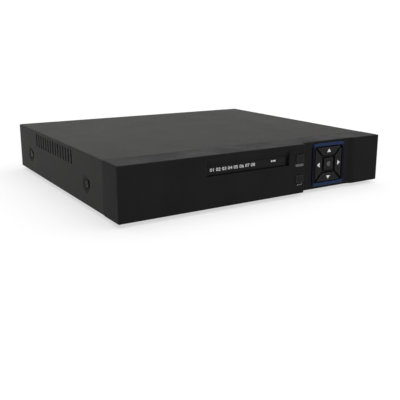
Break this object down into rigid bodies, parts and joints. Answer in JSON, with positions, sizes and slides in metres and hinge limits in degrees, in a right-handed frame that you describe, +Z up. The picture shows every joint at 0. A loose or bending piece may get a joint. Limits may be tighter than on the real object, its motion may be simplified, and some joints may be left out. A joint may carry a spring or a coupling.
{
  "type": "video recorder",
  "caption": "Slim black desktop video recorder with a vented steel case, a stepped front panel, a smoked window, a blue-ringed key pad and rear camera sockets.",
  "frame": {"origin": "under the middle of the whole recorder, on the surface its feet stand on", "axes": "+X to the viewer's right when facing the front, +Y towards the rear sockets, +Z up"},
  "size_m": [0.255, 0.2418, 0.044],
  "materials": {
    "powder_coat": "fine-textured black powder coat on folded sheet steel, slightly worn grey at the bends",
    "tray_coat": "fine-textured black powder coat on folded sheet steel",
    "bezel_plastic": "black moulded ABS with a fine spark texture",
    "smoked_window": "smoked acrylic, polished, near black",
    "blue_ring": "translucent dark blue moulded ring, satin",
    "key_plastic": "black moulded keys, satin, with white printed marks",
    "switch_plastic": "black moulded switch plastic",
    "board_laminate": "green solder-resist on glass-fibre laminate",
    "led_lens": "clear epoxy lens",
    "dark_lens": "dark infra-red-passing epoxy",
    "chip_plastic": "black moulding compound",
    "heatsink_metal": "extruded anodised aluminium",
    "capacitor_can": "aluminium can",
    "header_plastic": "off-white nylon header",
    "cell_steel": "bright steel cell",
    "cast_aluminium": "die-cast aluminium, bead blasted",
    "drive_steel": "brushed stainless steel cover",
    "socket_plastic": "black connector plastic",
    "nickel": "nickel-plated brass or steel, bright",
    "white_insulator": "white insulator",
    "gold_contact": "gold-plated contact",
    "rca_plastic": "moulded socket body, red below and white above",
    "vga_blue": "blue insulator plastic",
    "socket_steel": "tinned steel shield",
    "black_screw": "blackened steel screw",
    "zinc_screw": "zinc-plated steel screw",
    "brass_standoff": "turned brass",
    "rubber": "black moulded rubber",
    "data_jacket": "red cable jacket",
    "power_jacket": "black sleeve over four wires",
    "ribbon_jacket": "grey ribbon cable"
  },
  "bodies": {
    "case": {"backup_battery": "cell_steel", "base_tray": "tray_coat", "battery_holder": "header_plastic", "bezel_screws": "zinc_screw", "bnc_contacts": "gold_contact", "bnc_housings": "socket_plastic", "bnc_insulators": "white_insulator", "bnc_shells": "nickel", "board_headers": "header_plastic", "board_standoffs": "brass_standoff", "capacitors": "capacitor_can", "cover_screws": "black_screw", "drive_body": "cast_aluminium", "drive_connector": "socket_plastic", "drive_cover": "drive_steel", "drive_data_cable": "data_jacket", "drive_power_cable": "power_jacket", "drive_screws": "zinc_screw", "front_bezel": "bezel_plastic", "hdmi_socket": "socket_steel", "heatsink": "heatsink_metal", "ir_receiver": "dark_lens", "keypad_board": "board_laminate", "keypad_board_screws": "zinc_screw", "keypad_ribbon": "ribbon_jacket", "lan_socket": "socket_steel", "main_board": "board_laminate", "main_board_screws": "zinc_screw", "memory_chips": "chip_plastic", "pad_ring": "blue_ring", "power_socket": "socket_plastic", "processor": "chip_plastic", "rca_housings": "rca_plastic", "rca_sleeves": "nickel", "rubber_feet": "rubber", "socket_contacts": "gold_contact", "socket_tongues": "socket_plastic", "status_leds": "led_lens", "status_window": "smoked_window", "switch_bodies": "switch_plastic", "top_cover": "powder_coat", "usb_sockets": "socket_steel", "vga_insert": "vga_blue", "vga_jackscrews": "nickel", "vga_shell": "nickel", "video_converters": "chip_plastic"},
    "up_button": {"up_key": "key_plastic", "up_plunger": "switch_plastic"},
    "down_button": {"down_key": "key_plastic", "down_plunger": "switch_plastic"},
    "left_button": {"left_key": "key_plastic", "left_plunger": "switch_plastic"},
    "right_button": {"right_key": "key_plastic", "right_plunger": "switch_plastic"},
    "enter_button": {"enter_key": "key_plastic", "enter_plunger": "switch_plastic"},
    "menu_button": {"menu_key": "key_plastic", "menu_plunger": "switch_plastic"},
    "exit_button": {"exit_key": "key_plastic", "exit_plunger": "switch_plastic"}
  },
  "joints": [
    {"name": "up_press", "type": "slide", "parent": "case", "child": "up_button", "axis": [0, 1, 0], "range_m": [0, 0.0005], "stiffness_N_per_m": 3000},
    {"name": "down_press", "type": "slide", "parent": "case", "child": "down_button", "axis": [0, 1, 0], "range_m": [0, 0.0005], "stiffness_N_per_m": 3000},
    {"name": "left_press", "type": "slide", "parent": "case", "child": "left_button", "axis": [0, 1, 0], "range_m": [0, 0.0005], "stiffness_N_per_m": 3000},
    {"name": "right_press", "type": "slide", "parent": "case", "child": "right_button", "axis": [0, 1, 0], "range_m": [0, 0.0005], "stiffness_N_per_m": 3000},
    {"name": "enter_press", "type": "slide", "parent": "case", "child": "enter_button", "axis": [0, 1, 0], "range_m": [0, 0.0005], "stiffness_N_per_m": 3000},
    {"name": "menu_press", "type": "slide", "parent": "case", "child": "menu_button", "axis": [0, 1, 0], "range_m": [0, 0.0005], "stiffness_N_per_m": 3000},
    {"name": "exit_press", "type": "slide", "parent": "case", "child": "exit_button", "axis": [0, 1, 0], "range_m": [0, 0.0005], "stiffness_N_per_m": 3000}
  ]
}
